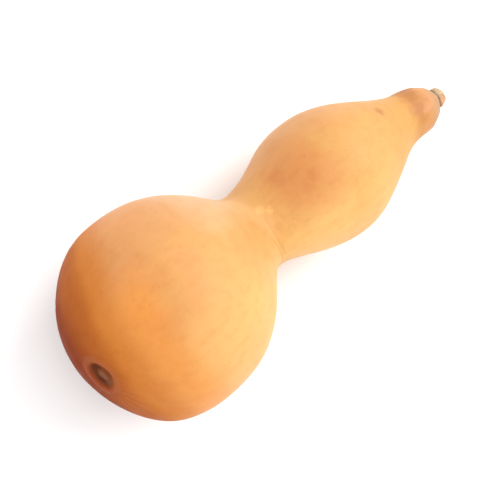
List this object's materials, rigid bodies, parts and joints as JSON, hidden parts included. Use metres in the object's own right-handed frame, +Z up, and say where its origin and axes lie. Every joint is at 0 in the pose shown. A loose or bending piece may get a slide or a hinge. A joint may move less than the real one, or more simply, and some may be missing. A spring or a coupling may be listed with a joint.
{
  "type": "dried bottle gourd",
  "caption": "Dried bottle gourd lying on its side: a round bulb, a narrow waist, a smaller pear-shaped bulb and a knobbed end with a stub of stem, kept as an ornament or craft blank.",
  "frame": {"origin": "on the surface that the gourd rests on, under the middle of its bounding box", "axes": "+X along the gourd from its blossom end to its stem, +Z up as it rests, so +Y is to the left of someone looking from the blossom end to the stem"},
  "size_m": [0.181, 0.0758, 0.0749],
  "materials": {
    "rind": "satin, waxy dried rind",
    "stem_cork": "matt, corky dry stem"
  },
  "bodies": {
    "root": {"gourd": "rind", "stem_stub": "stem_cork"}
  },
  "joints": []
}
